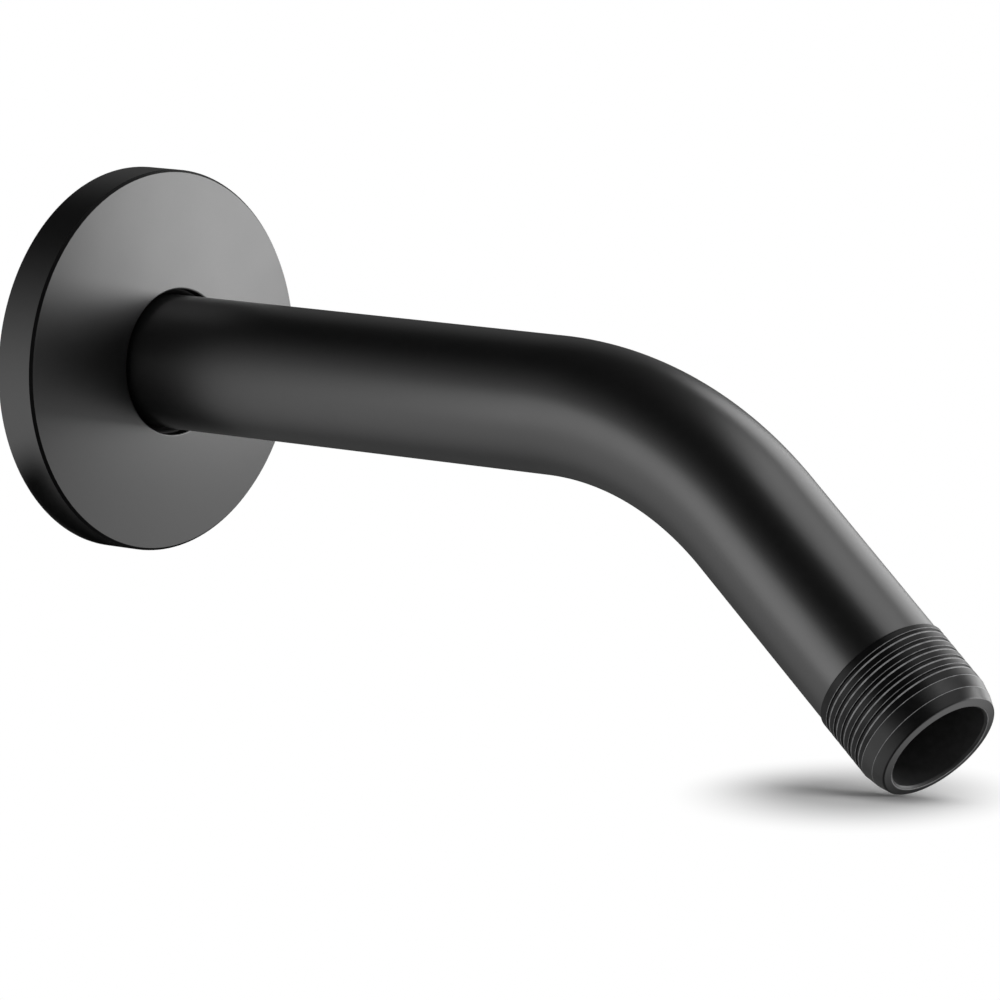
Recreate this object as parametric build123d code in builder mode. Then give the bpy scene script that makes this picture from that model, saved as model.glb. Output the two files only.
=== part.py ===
"""Shower arm: a bent pipe with a tapered thread at each end, and a round wall flange that slides on it.

Millimetres. The origin is on the pipe's axis in the wall plane, which is the flange's back face.
+X leaves the wall along the straight run, +Z is up, and the pipe bends down in the XZ plane.
"""
import os

from build123d import *

# Pipe
pipe_diameter = 21.0
bore_diameter = 16.0
straight_run = 87.8
bend_radius = 64.5
bend_angle = 38.0
outlet_straight_length = 32.2

# Threaded ends, drawn as the plain envelope of the thread's crests
thread_diameter = 21.56
nose_diameter = 20.72
nose_length = 4.2
tip_diameter = 19.4
tip_length = 2.1
tip_fillet = 0.4
outlet_thread_length = 14.6
wall_thread_length = 18.0
wall_thread_in_front = 2.0
bore_chamfer = 0.4

# Flange
flange_diameter = 60.0
rim_height = 7.0
rim_wall = 1.4
cone_rise = 2.6
face_wall = 1.4
hole_clearance = 0.9
edge_fillet = 0.35
hole_fillet = 0.3
hub_wall = 1.4

# Sealing ring and its groove in the flange's hub
ring_width = 2.4
ring_thickness = 2.4
ring_chamfer = 0.6
ring_clearance = 0.05
groove_side_clearance = 0.1
groove_lip = 1.6

pipe_radius = pipe_diameter / 2
bore_radius = bore_diameter / 2
thread_radius = thread_diameter / 2
nose_radius = nose_diameter / 2
tip_radius = tip_diameter / 2
flange_radius = flange_diameter / 2
hole_radius = pipe_radius + hole_clearance

# Arm: one bent pipe, threaded at both ends and open right through
with BuildPart() as arm:
    with BuildLine(Plane.XZ) as centre_line:
        run = Line((wall_thread_in_front, 0), (straight_run, 0))
        bend = JernArc(run @ 1, run % 1, bend_radius, -bend_angle)
        outlet = PolarLine(bend @ 1, outlet_straight_length, direction=bend % 1)
    with BuildSketch(Plane.YZ.offset(wall_thread_in_front)):
        Circle(pipe_radius)
        Circle(bore_radius, mode=Mode.SUBTRACT)
    sweep(path=centre_line.line)

    # Each threaded end has full crests, then a nose that leads in ever steeper to the end face
    for thread_start, leaves, length in (
        (outlet @ 1, outlet % 1, outlet_thread_length),
        (run @ 0, -(run % 0), wall_thread_length),
    ):
        with BuildSketch(Plane(origin=thread_start, x_dir=leaves, z_dir=(0, -1, 0))) as end_section:
            with BuildLine():
                Polyline(
                    (0, bore_radius),
                    (0, thread_radius),
                    (length - nose_length, thread_radius),
                    (length - tip_length, nose_radius),
                    (length, tip_radius),
                    (length, bore_radius + bore_chamfer),
                    (length - bore_chamfer, bore_radius),
                    close=True,
                )
            make_face()
            fillet(end_section.vertices().group_by(Axis.X)[-1].sort_by(Axis.Y)[-1], tip_fillet)
        revolve(axis=Axis(thread_start, leaves))
arm.part.label = "arm"

# Flange: a shallow cone on a straight rim, hollow behind, with a grooved hub round the pipe
front = rim_height + cone_rise
rim_inside = flange_radius - rim_wall
groove_width = ring_width + 2 * groove_side_clearance
groove_radius = pipe_radius + ring_thickness + 2 * ring_clearance
groove_middle = front - groove_lip - groove_width / 2
hub_radius = groove_radius + hub_wall
hub_back = front - 2 * groove_lip - groove_width
cone_slope = cone_rise / (flange_radius - hole_radius)


def cone_height(radius):
    """Height of the flange's front face above the wall at a distance from the axis."""
    return rim_height + cone_slope * (flange_radius - radius)


with BuildPart() as flange:
    with BuildSketch(Plane.XZ) as section:
        with BuildLine():
            Polyline(
                (0, rim_inside),
                (0, flange_radius),
                (rim_height, flange_radius),
                (front, hole_radius),
                (hub_back, hole_radius),
                (hub_back, hub_radius),
                (cone_height(hub_radius) - face_wall, hub_radius),
                (cone_height(rim_inside) - face_wall, rim_inside),
                close=True,
            )
        make_face()
        with Locations((groove_middle, hole_radius)):
            Rectangle(groove_width, 2 * (groove_radius - hole_radius), mode=Mode.SUBTRACT)
        fillet(section.vertices().sort_by(Axis.X)[-1], hole_fillet)
        fillet(section.vertices().group_by(Axis.Y)[-1].sort_by(Axis.X)[-1], edge_fillet)
    revolve(axis=Axis.X)
flange.part.label = "flange"

# Sealing ring: a square-cut rubber ring in the hub's groove that grips the pipe with a bevelled lip
with BuildPart() as sealing_ring:
    with BuildSketch(Plane.XZ) as ring_section:
        with Locations((groove_middle, pipe_radius + ring_clearance + ring_thickness / 2)):
            Rectangle(ring_width, ring_thickness)
        chamfer(ring_section.vertices().group_by(Axis.Y)[0], ring_chamfer)
    revolve(axis=Axis.X)
sealing_ring.part.label = "sealing_ring"

os.makedirs("parts", exist_ok=True)
export_step(arm.part, "parts/arm.step")
export_step(flange.part, "parts/flange.step")
export_step(sealing_ring.part, "parts/sealing_ring.step")
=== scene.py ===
"""Shower arm: the bent pipe with its cut threads, the wall flange and its ring, in a white studio."""
import math

import bmesh
import bpy
import numpy as np
from mathutils import Matrix, Vector


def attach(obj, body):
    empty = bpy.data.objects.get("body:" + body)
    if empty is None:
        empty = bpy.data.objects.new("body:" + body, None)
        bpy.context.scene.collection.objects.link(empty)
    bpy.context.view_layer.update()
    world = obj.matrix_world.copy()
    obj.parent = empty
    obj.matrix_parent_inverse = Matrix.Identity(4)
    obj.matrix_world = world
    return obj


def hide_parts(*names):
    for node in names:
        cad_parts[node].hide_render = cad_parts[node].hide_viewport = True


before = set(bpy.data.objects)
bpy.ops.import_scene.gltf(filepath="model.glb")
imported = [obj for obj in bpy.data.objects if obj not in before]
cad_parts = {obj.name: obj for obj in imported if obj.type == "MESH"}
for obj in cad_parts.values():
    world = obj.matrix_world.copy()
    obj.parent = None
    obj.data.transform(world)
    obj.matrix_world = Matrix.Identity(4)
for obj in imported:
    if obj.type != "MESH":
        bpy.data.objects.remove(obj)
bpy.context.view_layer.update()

# Sizes of the object are in millimetres, and those of the studio in metres
MM = 0.001

# Materials of the arm, of the flange and of the ring, in the order of their slots
PIPE, THREAD, NOSE, BORE, EDGE = range(5)
SATIN, SHADE_MATT = range(2)
RUBBER = 0

# Pipe, as in the solids
pipe_radius = 10.5
bore_radius = 8.0
straight_run = 87.8
bend_radius = 64.5
bend_angle = math.radians(38.0)
outlet_straight_length = 32.2
wall_thread_start = 2.0

# Threaded ends
outlet_length = 14.6
wall_length = 18.0
shoulder = 0.3
crest_radius = 10.78
nose_radius = 10.36
nose_length = 4.2
tip_radius = 9.695
tip_length = 2.1
tip_round = 0.4
bore_chamfer = 0.4
mouth_radius = bore_radius + bore_chamfer

# End face, which falls off slightly outwards: where on the tip's round its finish starts, and the fall
face_from = math.radians(50.0)
face_fall = math.radians(12.0)

# Helical grooves, with the stretches over which they run in and out
pitch = 25.4 / 14
groove_depth = 0.25
first_groove = 1.6
helix_start = math.radians(150.0)
groove_runs_in = (0.5, 1.1)
groove_runs_out = (0.2, 0.7)
spare_turns = 2

# One pitch of thread: place from the middle of the groove, and depth as a share of the groove's
thread_rows = (
    (-0.47, 0.0), (-0.42, 0.0), (-0.34, 0.15), (-0.26, 0.85), (-0.18, 1.0),
    (0.1, 1.0), (0.18, 0.85), (0.28, 0.15), (0.35, 0.0), (0.53, 0.0), (0.6, 0.0), (0.95, 0.0),
)

# Painted highlight lines on the edges: the rows of the thread that start one, the first place for one,
# and the width on the nose
highlight_rows = (-0.42, 0.28, 0.35)
first_line = 0.75
edge_line = 0.09

# Section of the shoulder: place along the thread, radius and material
before_shoulder = 0.6
shoulder_section = (
    (-before_shoulder, pipe_radius, PIPE),
    (-0.12, pipe_radius, PIPE),
    (-0.06, pipe_radius, THREAD),
    (0.0, pipe_radius + 0.02, THREAD),
    (0.04, pipe_radius + 0.1, THREAD),
    (0.09, crest_radius - 0.06, THREAD),
    (0.15, crest_radius - 0.01, THREAD),
    (0.2, crest_radius, THREAD),
    (shoulder, crest_radius, THREAD),
)

# Sections of the nose's two edges, each with a painted highlight line: place from the edge, radius and
# material
nose_edge = (
    (0.0, crest_radius, THREAD),
    (0.05, crest_radius - 0.005, EDGE),
    (0.05 + edge_line, crest_radius - 0.022, NOSE),
    (0.3, crest_radius - 0.06, NOSE),
)
tip_edge = (
    (-0.15, nose_radius + 0.03, NOSE),
    (-edge_line / 2, nose_radius + 0.009, EDGE),
    (edge_line / 2, nose_radius - 0.014, NOSE),
    (0.15, nose_radius - 0.047, NOSE),
)

# Section of the mouth, with a painted highlight line round its outer edge: place from the end, radius and
# material
bore_start = bore_chamfer + 0.1
mouth_section = (
    (-0.016, mouth_radius + 0.1, PIPE),
    (-0.009, mouth_radius + 0.04, EDGE),
    (-0.08, mouth_radius - 0.08, BORE),
    (0.05 - bore_chamfer, bore_radius + 0.05, BORE),
    (-0.03 - bore_chamfer, bore_radius + 0.006, BORE),
    (-bore_start, bore_radius, BORE),
)

# Flange, a hair inside the solids
flange_radius = 29.998
flange_inside = 28.6
rim_height = 7.0
cone_rise = 2.6
face_wall = 1.4
hole_radius = 11.4
hole_round = 0.3
# Where the hole's round turns to painted shade
hole_shade_from = math.radians(-35.0)
cone_slope = cone_rise / (flange_radius - hole_radius)
edge_bevel = 0.4
hub_radius = 14.4
hub_back = 3.8
seal_groove_radius = 13.0
seal_groove_sides = (5.4, 8.0)

# Sealing ring, with half of its lip and back: place from the ring's middle, and radius
seal_place = 6.7
seal_half = 1.25
seal_inner = 10.503
seal_outer = 12.98
seal_lip = (
    (-seal_half, seal_outer - 0.35),
    (-seal_half, seal_inner + 0.75),
    (0.06 - seal_half, seal_inner + 0.6),
    (-0.5, seal_inner + 0.12),
    (-0.38, seal_inner + 0.03),
    (-0.25, seal_inner),
)
seal_back = (
    (seal_half - 0.05, seal_outer - 0.18),
    (seal_half - 0.18, seal_outer - 0.05),
    (seal_half - 0.35, seal_outer),
)

# Meshes: how dense they are, what counts as sharp, and what is merged, in metres
columns = 160
bend_rows = 56
run_step = 6.0
tip_rows = 8
hole_rows = 6
sharp_from = math.radians(30.0)
merge_distance = 4e-6
collapse_distance = 2e-6

# Angles round the pipe, and the way across the plane of its bend
phi = 2 * math.pi * np.arange(columns) / columns
across = np.array((0.0, 1.0, 0.0))


def smoothstep(low, high, x):
    t = np.clip((x - low) / (high - low), 0.0, 1.0)
    return t * t * (3 - 2 * t)


def ring(centre, along, radius, angles=phi):
    """Points round the pipe at one place on its centre line. Radius may vary with the angle."""
    normal = np.cross(along, across)
    radius = np.broadcast_to(radius, angles.shape)[:, None]
    return centre + radius * (np.cos(angles)[:, None] * across + np.sin(angles)[:, None] * normal)


# Centre line
def on_run(x):
    return np.array((x, 0.0, 0.0)), np.array((1.0, 0.0, 0.0))


def on_bend(angle):
    place = (straight_run + bend_radius * math.sin(angle), 0.0, -bend_radius * (1 - math.cos(angle)))
    return np.array(place), np.array((math.cos(angle), 0.0, -math.sin(angle)))


bend_end, outlet_way = on_bend(bend_angle)


def on_outlet(length):
    return bend_end + length * outlet_way, outlet_way


def centre_line(start, end):
    """Places along the pipe between two places: start on the run, end on the outlet leg."""
    steps = max(2, int((straight_run - start) / run_step))
    places = [on_run(x) for x in np.linspace(start, straight_run, steps, endpoint=False)]
    places += [on_bend(a) for a in np.linspace(0, bend_angle, bend_rows)]
    steps = max(2, int(end / run_step))
    places += [on_outlet(x) for x in np.linspace(0, end, steps)[1:]]
    return places


class Shell:
    """Collects rows of points and the quads between them."""

    def __init__(self):
        self.points = []
        self.quads = []
        self.kinds = []

    def add(self, row):
        first = len(self.points)
        self.points.extend(map(tuple, row))
        return list(range(first, first + len(row)))

    def join(self, a, b, kinds, closed):
        count = len(a)
        kinds = np.broadcast_to(kinds, count)
        for i in range(count if closed else count - 1):
            j = (i + 1) % count
            self.quads.append((a[i], a[j], b[j], b[i]))
            self.kinds.append(int(kinds[i]))

    def skin(self, rows, kinds, closed=True):
        """Joins each row to the next one. Each kind is the material from its row on."""
        made = [self.add(row) for row in rows]
        for a, b, kind in zip(made, made[1:], kinds):
            self.join(a, b, kind, closed)


def thread(shell, start, leaves, frame_way, length, turn):
    """One threaded end: shoulder, helical grooves, nose, end face and the chamfer into the bore."""
    nose_start = length - nose_length
    tip_start = length - tip_length

    def at(s, r, angles=phi):
        centre = start + np.asarray(s)[..., None] * leaves
        return ring(centre, frame_way, r, angles)

    def lathe(rows):
        shell.skin([at(s, r) for s, r, _ in rows], [kind for _, _, kind in rows])

    def shifted(section, by):
        return [(by + s, r, kind) for s, r, kind in section]

    lathe(shoulder_section)

    # Grooves on a grid that follows the helix and stops at the shoulder and at the nose
    angles = 2 * math.pi * np.arange(columns + 1) / columns
    phase = turn * (angles - helix_start) / (2 * math.pi)
    grid = []
    for t in range(-spare_turns, int(length / pitch) + spare_turns):
        groove = first_groove + pitch * (t + phase)
        runs_in = smoothstep(*groove_runs_in, groove)
        runs_out = smoothstep(*groove_runs_out, nose_start - groove)
        cut = groove_depth * runs_in * runs_out
        for place, share in thread_rows:
            s = np.clip(groove + place, shoulder, nose_start)
            depth = np.where((s > shoulder) & (s < nose_start), share * cut, 0.0)
            # The lighter strips along the grooves' edges are painted highlight lines
            shown = (s > first_line) & (groove < nose_start - groove_runs_out[0])
            kinds = np.where(shown & (place in highlight_rows), EDGE, THREAD)
            grid.append((s, crest_radius - depth, kinds))
    shell.skin([at(s, r, angles) for s, r, _ in grid], [kinds for _, _, kinds in grid], closed=False)

    # Nose in two steps, each with a painted highlight line on its edge
    lathe(shifted(nose_edge, nose_start) + shifted(tip_edge, tip_start))

    # Rounded tip, end face and mouth
    slope = math.atan2(nose_radius - tip_radius, tip_length)
    from_corner = tip_round * math.tan((math.pi / 2 - slope) / 2)
    round_radius = tip_radius - from_corner
    face_place = length - math.tan(face_fall) * (round_radius - mouth_radius)
    round_place = face_place - tip_round
    rows = shifted(tip_edge[-1:], tip_start)
    for a in np.linspace(slope, math.pi / 2 - face_fall, tip_rows):
        kind = NOSE if a < face_from else PIPE
        rows.append((round_place + tip_round * math.sin(a), round_radius + tip_round * math.cos(a), kind))
    rows.append((face_place, round_radius, PIPE))
    lathe(rows + shifted(mouth_section, length))


def build(shell, name):
    """The shell as a smooth mesh in metres, with its doubled points merged."""
    bm = bmesh.new()
    verts = [bm.verts.new(Vector(p) * MM) for p in shell.points]
    for quad, kind in zip(shell.quads, shell.kinds):
        face = bm.faces.new([verts[i] for i in quad])
        face.material_index = kind
        face.smooth = True
    bmesh.ops.remove_doubles(bm, verts=bm.verts, dist=merge_distance)
    bmesh.ops.dissolve_degenerate(bm, dist=collapse_distance, edges=bm.edges)
    bmesh.ops.recalc_face_normals(bm, faces=bm.faces)
    mesh = bpy.data.meshes.new(name)
    bm.to_mesh(mesh)
    bm.free()
    piece = bpy.data.objects.new(name, mesh)
    bpy.context.scene.collection.objects.link(piece)
    return piece


def build_arm():
    shell = Shell()
    wall_start, run_way = on_run(wall_thread_start)
    outlet_start, _ = on_outlet(outlet_straight_length)
    outside = centre_line(wall_thread_start + before_shoulder, outlet_straight_length - before_shoulder)
    shell.skin([ring(p, way, pipe_radius) for p, way in outside], [PIPE] * len(outside))
    thread(shell, wall_start, -run_way, run_way, wall_length, -1)
    thread(shell, outlet_start, outlet_way, outlet_way, outlet_length, 1)
    bore_from = wall_thread_start - wall_length + bore_start
    bore_to = outlet_straight_length + outlet_length - bore_start
    bore = centre_line(bore_from, bore_to)
    shell.skin([ring(p, way, bore_radius) for p, way in bore], [BORE] * len(bore))
    return build(shell, "arm_pipe")


def turned(section, name):
    """A piece turned round the straight run from its closed section: place, radius and material."""
    rows = [*section, section[0]]
    shell = Shell()
    shell.skin([ring(*on_run(x), r) for x, r, _ in rows], [kind for _, _, kind in rows])
    return build(shell, name)


def build_seal():
    """The rubber ring as it sits squeezed. It just touches the pipe and its groove's floor."""
    section = []
    for rows in (seal_lip, seal_back):
        section += rows
        section += [(-x, r) for x, r in rows[::-1]]
    return turned([(seal_place + x, r, RUBBER) for x, r in section], "seal")


def face_height(radius):
    """How far the flange's face stands from the wall plane at a distance from the axis."""
    return rim_height + cone_slope * (flange_radius - radius)


def build_flange():
    """The flange as in the solids, with a darker matt bevel between its rim and its face and a darker
    matt hole and seal groove: painted shade.
    """
    bevel_radius = flange_radius - edge_bevel
    section = [
        (0.0, flange_inside, SATIN),
        (0.0, flange_radius, SATIN),
        (rim_height - edge_bevel, flange_radius, SHADE_MATT),
        (face_height(bevel_radius), bevel_radius, SATIN),
    ]
    round_radius = hole_radius + hole_round
    round_place = face_height(round_radius) - hole_round * math.hypot(1, cone_slope)
    for a in np.linspace(math.atan(cone_slope), -math.pi / 2, hole_rows):
        kind = SATIN if a > hole_shade_from else SHADE_MATT
        radius = round_radius + hole_round * math.sin(a)
        section.append((round_place + hole_round * math.cos(a), radius, kind))
    groove_back, groove_front = seal_groove_sides
    section += [
        (groove_front, hole_radius, SHADE_MATT),
        (groove_front, seal_groove_radius, SHADE_MATT),
        (groove_back, seal_groove_radius, SHADE_MATT),
        (groove_back, hole_radius, SHADE_MATT),
        (hub_back, hole_radius, SATIN),
        (hub_back, hub_radius, SATIN),
        (face_height(hub_radius) - face_wall, hub_radius, SATIN),
        (face_height(flange_inside) - face_wall, flange_inside, SATIN),
    ]
    piece = turned(section, "wall_flange")
    piece.data.set_sharp_from_angle(angle=sharp_from)
    return piece


# Nodes
def new_material(name):
    mat = bpy.data.materials.new(name)
    mat.use_nodes = True
    nodes = mat.node_tree.nodes
    nodes.clear()
    return mat, nodes, mat.node_tree.links


def math_node(nodes, links, operation, first, second):
    """What a math node gives. The second value is a socket or a number."""
    node = nodes.new("ShaderNodeMath")
    node.operation = operation
    links.new(first, node.inputs[0])
    if isinstance(second, float):
        node.inputs[1].default_value = second
    else:
        links.new(second, node.inputs[1])
    return node.outputs[0]


def mixed(nodes, links, factor, first, second):
    """A shader between two others: the first one at factor 0."""
    node = nodes.new("ShaderNodeMixShader")
    links.new(factor, node.inputs["Fac"])
    links.new(first, node.inputs[1])
    links.new(second, node.inputs[2])
    return node.outputs["Shader"]


def noise(nodes, links, coords, scale, detail):
    node = nodes.new("ShaderNodeTexNoise")
    node.inputs["Scale"].default_value = scale
    node.inputs["Detail"].default_value = detail
    links.new(coords.outputs["Object"], node.inputs["Vector"])
    return node.outputs["Fac"]


# Materials
lacquer_ior = 1.6
noise_low = 0.3
noise_high = 0.7
mottle_scale = 900.0
mottle_detail = 4.0
cloud_scale = 160.0
cloud_detail = 5.0
grain_detail = 2.0


def coating(name, dark, light, rough, grain_scale, grain_height, specular):
    """Black coating: a faint mottle in its colour, uneven gloss and a fine grain."""
    mat, nodes, links = new_material(name)
    out = nodes.new("ShaderNodeOutputMaterial")
    shader = nodes.new("ShaderNodeBsdfPrincipled")
    shader.inputs["IOR"].default_value = lacquer_ior
    shader.inputs["Specular IOR Level"].default_value = specular
    links.new(shader.outputs["BSDF"], out.inputs["Surface"])
    coords = nodes.new("ShaderNodeTexCoord")

    ramp = nodes.new("ShaderNodeValToRGB")
    ramp.color_ramp.elements[0].position = noise_low
    ramp.color_ramp.elements[0].color = (*dark, 1.0)
    ramp.color_ramp.elements[1].position = noise_high
    ramp.color_ramp.elements[1].color = (*light, 1.0)
    links.new(noise(nodes, links, coords, mottle_scale, mottle_detail), ramp.inputs["Fac"])
    links.new(ramp.outputs["Color"], shader.inputs["Base Color"])

    gloss = nodes.new("ShaderNodeMapRange")
    gloss.inputs["From Min"].default_value = noise_low
    gloss.inputs["From Max"].default_value = noise_high
    gloss.inputs["To Min"].default_value = rough[0]
    gloss.inputs["To Max"].default_value = rough[1]
    links.new(noise(nodes, links, coords, cloud_scale, cloud_detail), gloss.inputs["Value"])
    links.new(gloss.outputs["Result"], shader.inputs["Roughness"])

    bump = nodes.new("ShaderNodeBump")
    bump.inputs["Strength"].default_value = 1.0
    bump.inputs["Distance"].default_value = grain_height
    links.new(noise(nodes, links, coords, grain_scale, grain_detail), bump.inputs["Height"])
    links.new(bump.outputs["Normal"], shader.inputs["Normal"])
    return mat


satin = coating(
    "satin_black_coating",
    dark=(0.004, 0.004, 0.0042), light=(0.0056, 0.0056, 0.0059), rough=(0.33, 0.35),
    grain_scale=3200.0, grain_height=1.2e-6, specular=0.9,
)
threaded = coating(
    "black_coating_on_thread",
    dark=(0.003, 0.003, 0.0032), light=(0.006, 0.006, 0.0063), rough=(0.28, 0.4),
    grain_scale=5200.0, grain_height=5.0e-6, specular=0.15,
)
nose = coating(
    "black_coating_on_nose",
    dark=(0.003, 0.003, 0.0032), light=(0.006, 0.006, 0.0063), rough=(0.28, 0.4),
    grain_scale=5200.0, grain_height=5.0e-6, specular=0.5,
)
# Coating in the bore and on the mouth's chamfer, many times lighter than outside: painted light inside
# the bore
bore_painted_light = coating(
    "black_coating_in_bore_painted_lighter",
    dark=(0.028, 0.028, 0.0285), light=(0.042, 0.042, 0.0425), rough=(0.4, 0.5),
    grain_scale=2500.0, grain_height=5.0e-6, specular=0.5,
)
rubber = coating(
    "black_rubber",
    dark=(0.009, 0.009, 0.009), light=(0.014, 0.014, 0.014), rough=(0.5, 0.62),
    grain_scale=4000.0, grain_height=4.0e-6, specular=0.25,
)
# Darker, nearly glossless coating on the flange's edge bevel, hole and seal groove: painted shade for the
# dark line at the rim and the dark gap round the pipe
painted_shade_matt = coating(
    "matt_black_painted_shade",
    dark=(0.0015, 0.0015, 0.0016), light=(0.003, 0.003, 0.0032), rough=(0.5, 0.6),
    grain_scale=3200.0, grain_height=1.2e-6, specular=0.1,
)
# Lighter coating on the strips along the thread's, the nose's and the mouth's edges: painted highlight
# lines
painted_edge_highlight = coating(
    "coating_with_painted_edge_highlights",
    dark=(0.19, 0.19, 0.193), light=(0.4, 0.4, 0.405), rough=(0.32, 0.42),
    grain_scale=5200.0, grain_height=3.0e-6, specular=0.2,
)

# Pieces
arm_pipe = build_arm()
for mat in (satin, threaded, nose, bore_painted_light, painted_edge_highlight):
    arm_pipe.data.materials.append(mat)
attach(arm_pipe, "arm")
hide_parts("arm")

seal = build_seal()
seal.data.materials.append(rubber)
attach(seal, "ring")
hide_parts("sealing_ring")

wall_flange = build_flange()
for mat in (satin, painted_shade_matt):
    wall_flange.data.materials.append(mat)
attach(wall_flange, "flange")
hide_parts("flange")

# Camera, at the photo's viewing angle
view_azimuth = math.radians(40.471)
view_elevation = math.radians(2.886)
view_roll = math.radians(4.772)
image_width = 1000.0
focal_pixels = 7035.8
origin_pixel = (133.24, 356.71)
origin_depth = 1.10899
sensor_width = 36.0

back = Vector((math.sin(view_azimuth) * math.cos(view_elevation),
               -math.cos(view_azimuth) * math.cos(view_elevation), math.sin(view_elevation)))
level_right = Vector((math.cos(view_azimuth), math.sin(view_azimuth), 0.0))
level_up = back.cross(level_right)
right = math.cos(view_roll) * level_right + math.sin(view_roll) * level_up
up = -math.sin(view_roll) * level_right + math.cos(view_roll) * level_up
aside = (origin_pixel[0] - image_width / 2) / focal_pixels * origin_depth
below = (origin_pixel[1] - image_width / 2) / focal_pixels * origin_depth
camera_place = -aside * right + below * up + origin_depth * back

camera_data = bpy.data.cameras.new("camera")
camera_data.sensor_fit = "HORIZONTAL"
camera_data.sensor_width = sensor_width
camera_data.lens = focal_pixels / image_width * sensor_width
camera = bpy.data.objects.new("camera", camera_data)
camera.matrix_world = Matrix((
    (right.x, up.x, back.x, camera_place.x),
    (right.y, up.y, back.y, camera_place.y),
    (right.z, up.z, back.z, camera_place.z),
    (0.0, 0.0, 0.0, 1.0),
))
bpy.context.scene.collection.objects.link(camera)
bpy.context.scene.camera = camera

# Floor, white but for an oval under the outlet that keeps the shadow. The oval is grey, darker than the
# white round it: a painted shadow round the outlet's foot, on top of the real shadow
floor_height = -0.0502
floor_radius = 1.6
floor_sides = 128
shadow_oval_grey = 0.68
shadow_middle = (0.1537, -0.0045, floor_height)
shadow_half_width = 0.027
shadow_half_height = 0.0057
shadow_full = 0.25


def seen_directly(nodes, links):
    """1 for rays that show the background: from the camera, off gloss or through glass."""
    path = nodes.new("ShaderNodeLightPath").outputs
    seen = math_node(nodes, links, "MAXIMUM", path["Is Camera Ray"], path["Is Glossy Ray"])
    return math_node(nodes, links, "MAXIMUM", seen, path["Is Transmission Ray"])


def build_floor():
    bm = bmesh.new()
    bmesh.ops.create_circle(bm, cap_ends=True, segments=floor_sides, radius=floor_radius)
    mesh = bpy.data.meshes.new("floor")
    bm.to_mesh(mesh)
    bm.free()
    floor = bpy.data.objects.new("floor", mesh)
    floor.location = shadow_middle
    bpy.context.scene.collection.objects.link(floor)

    mat, nodes, links = new_material("white_floor")
    out = nodes.new("ShaderNodeOutputMaterial")
    # Grey inside the oval, fading to white: painted shadow with the real shadow on it
    diffuse = nodes.new("ShaderNodeBsdfDiffuse")
    diffuse.inputs["Color"].default_value = (shadow_oval_grey, shadow_oval_grey, shadow_oval_grey, 1.0)
    white = nodes.new("ShaderNodeEmission")
    white.inputs["Strength"].default_value = 1.0
    coords = nodes.new("ShaderNodeTexCoord")
    oval = nodes.new("ShaderNodeCombineXYZ")
    sight = Vector(shadow_middle) - camera_place
    depth = -sight.dot(back)
    for axis, way, size in (("X", right, shadow_half_width), ("Y", up, shadow_half_height)):
        offset = nodes.new("ShaderNodeVectorMath")
        offset.operation = "DOT_PRODUCT"
        offset.inputs[1].default_value = (way + back * (sight.dot(way) / depth)) / size
        links.new(coords.outputs["Object"], offset.inputs[0])
        links.new(offset.outputs["Value"], oval.inputs[axis])
    distance = nodes.new("ShaderNodeVectorMath")
    distance.operation = "LENGTH"
    links.new(oval.outputs["Vector"], distance.inputs[0])
    fade = nodes.new("ShaderNodeMapRange")
    fade.interpolation_type = "SMOOTHSTEP"
    fade.inputs["From Min"].default_value = shadow_full
    links.new(distance.outputs["Value"], fade.inputs["Value"])
    direct = seen_directly(nodes, links)
    share = math_node(nodes, links, "MULTIPLY", fade.outputs["Result"], direct)
    top = mixed(nodes, links, share, diffuse.outputs["BSDF"], white.outputs["Emission"])
    clear = nodes.new("ShaderNodeBsdfTransparent")
    from_below = nodes.new("ShaderNodeNewGeometry").outputs["Backfacing"]
    both_sides = mixed(nodes, links, from_below, top, clear.outputs["BSDF"])
    links.new(both_sides, out.inputs["Surface"])
    floor.data.materials.append(mat)
    floor.visible_glossy = False


build_floor()

# Dark card beside the flange's back edge, which only gloss sees: painted shade in the rim's reflection,
# where a wall's shadow would be. Along its angles it starts, is full, fades and ends
wall_card_place = -0.4
wall_card_radii = (30.3, 36.5)
wall_card_angles = tuple(math.radians(a) for a in (-152.0, -134.0, -92.0, -58.0))
wall_card_points = 47


def build_wall_card():
    starts, full, fades, ends = wall_card_angles
    angles = np.linspace(starts, ends, wall_card_points)
    rows = []
    for radius in wall_card_radii:
        rows.append([(wall_card_place, radius * math.cos(a), radius * math.sin(a)) for a in angles])
    shell = Shell()
    shell.skin(rows, [0], closed=False)
    card = build(shell, "wall_card")

    mat, nodes, links = new_material("painted_shade_card")
    out = nodes.new("ShaderNodeOutputMaterial")
    black = nodes.new("ShaderNodeBsdfDiffuse")
    black.inputs["Color"].default_value = (0.0, 0.0, 0.0, 1.0)
    clear = nodes.new("ShaderNodeBsdfTransparent")
    coords = nodes.new("ShaderNodeTexCoord")
    parts = nodes.new("ShaderNodeSeparateXYZ")
    links.new(coords.outputs["Object"], parts.inputs["Vector"])
    angle = math_node(nodes, links, "ARCTAN2", parts.outputs["Z"], parts.outputs["Y"])
    shares = []
    for clear_at, black_at in ((starts, full), (ends, fades)):
        fade = nodes.new("ShaderNodeMapRange")
        fade.interpolation_type = "SMOOTHSTEP"
        fade.inputs["From Min"].default_value = clear_at
        fade.inputs["From Max"].default_value = black_at
        links.new(angle, fade.inputs["Value"])
        shares.append(fade.outputs["Result"])
    share = math_node(nodes, links, "MULTIPLY", *shares)
    surface = mixed(nodes, links, share, clear.outputs["BSDF"], black.outputs["BSDF"])
    links.new(surface, out.inputs["Surface"])
    card.data.materials.append(mat)
    card.visible_camera = False
    card.visible_diffuse = False
    card.visible_shadow = False


build_wall_card()


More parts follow.
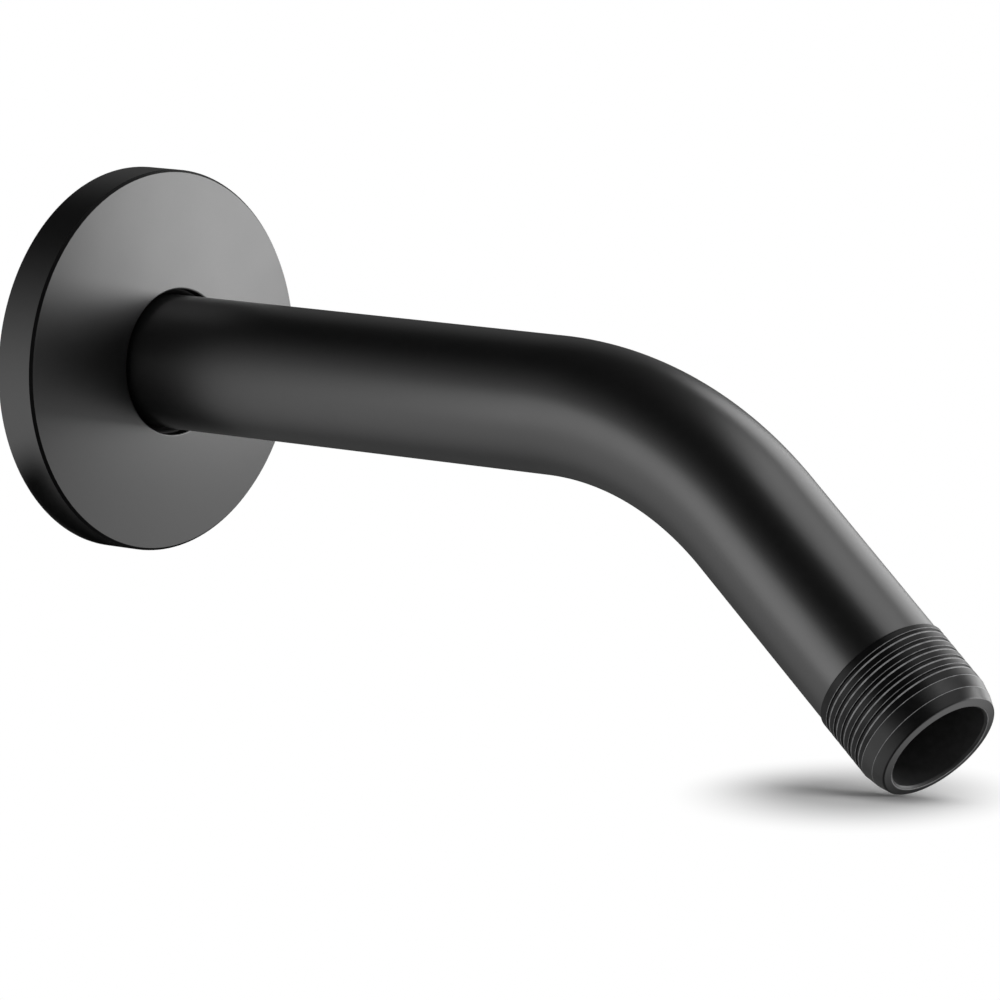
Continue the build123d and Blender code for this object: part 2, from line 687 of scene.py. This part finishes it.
def direction(azimuth, elevation):
    """A unit vector from two angles in degrees, the azimuth from +X."""
    azimuth = math.radians(azimuth)
    elevation = math.radians(elevation)
    level = math.cos(elevation)
    return np.array((math.cos(azimuth) * level, math.sin(azimuth) * level, math.sin(elevation)))


# World: white behind the object and in its gloss where a white card stands, and a soft even fill
fill_level = 0.4

# White cards: azimuth, elevation, angle of the full part, angle where it ends, brightness and steepness
cards = (
    (-136.0, -27.0, 10.0, 78.0, 0.82, 2.0),
    (165.0, -35.0, 10.0, 46.0, 0.2, 1.0),
    (52.0, -26.0, 12.0, 38.0, 1.0, 1.0),
    (62.0, -36.0, 14.0, 21.0, 1.0, 1.0),
    (140.0, 28.0, 5.0, 24.0, 0.14, 1.0),
    (8.0, -4.0, 10.0, 30.0, 0.35, 1.0),
    (-8.0, 45.0, 8.0, 32.0, 0.6, 1.0),
)


def build_world():
    world = bpy.data.worlds.new("studio")
    bpy.context.scene.world = world
    world.use_nodes = True
    nodes, links = world.node_tree.nodes, world.node_tree.links
    nodes.clear()

    def background(strength):
        node = nodes.new("ShaderNodeBackground")
        node.inputs["Color"].default_value = (1.0, 1.0, 1.0, 1.0)
        node.inputs["Strength"].default_value = strength
        return node.outputs["Background"]

    coords = nodes.new("ShaderNodeTexCoord")
    levels = []
    for azimuth, elevation, full, ends, brightness, steepness in cards:
        facing = nodes.new("ShaderNodeVectorMath")
        facing.operation = "DOT_PRODUCT"
        facing.inputs[1].default_value = direction(azimuth, elevation)
        links.new(coords.outputs["Generated"], facing.inputs[0])
        card = nodes.new("ShaderNodeMapRange")
        card.inputs["From Min"].default_value = math.cos(math.radians(ends))
        card.inputs["From Max"].default_value = math.cos(math.radians(full))
        links.new(facing.outputs["Value"], card.inputs["Value"])
        faded = math_node(nodes, links, "POWER", card.outputs["Result"], steepness)
        levels.append(math_node(nodes, links, "MULTIPLY", faded, brightness))
    share = levels[0]
    for level in levels[1:]:
        share = math_node(nodes, links, "MAXIMUM", share, level)

    path = nodes.new("ShaderNodeLightPath").outputs
    in_gloss = math_node(nodes, links, "MULTIPLY", path["Is Glossy Ray"], share)
    in_glass = math_node(nodes, links, "MAXIMUM", in_gloss, path["Is Transmission Ray"])
    shown = math_node(nodes, links, "MAXIMUM", in_glass, path["Is Camera Ray"])
    unlit = mixed(nodes, links, path["Is Glossy Ray"], background(fill_level), background(0.0))
    out = nodes.new("ShaderNodeOutputWorld")
    links.new(mixed(nodes, links, shown, unlit, background(1.0)), out.inputs["Surface"])


build_world()

# Lamps
arm_middle = np.array((0.08, 0.0, -0.01))
outlet_middle = np.array((0.14, 0.0, -0.025))
left_of_outlet = (0.032, -0.178, -0.036)


def toward(azimuth, elevation, distance):
    """A place in a direction from the middle of the arm."""
    return arm_middle + distance * direction(azimuth, elevation)


def softbox(name, location, aim, width, height, radiance):
    """A rectangular lamp of an even brightness, 1 being white, that the camera doesn't see."""
    lamp_data = bpy.data.lights.new(name, "AREA")
    lamp_data.shape = "RECTANGLE"
    lamp_data.size = width
    lamp_data.size_y = height
    lamp_data.energy = math.pi * width * height * radiance
    lamp = bpy.data.objects.new(name, lamp_data)
    lamp.location = location
    lamp.rotation_euler = (Vector(location) - Vector(aim)).to_track_quat("Z", "Y").to_euler()
    lamp.visible_camera = False
    bpy.context.scene.collection.objects.link(lamp)


softbox("softbox_right", toward(53.8, 14.0, 1.0), arm_middle, width=0.655, height=0.61, radiance=3.65)
softbox("softbox_back", toward(95.0, 27.0, 1.0), arm_middle, width=0.52, height=1.1, radiance=2.05)
softbox("softbox_overhead", toward(21.0, 69.5, 0.9), arm_middle, width=0.68, height=0.52, radiance=1.35)
softbox("card_left", left_of_outlet, outlet_middle, width=0.13, height=0.13, radiance=1.15)

bpy.context.scene.view_settings.view_transform = "Standard"
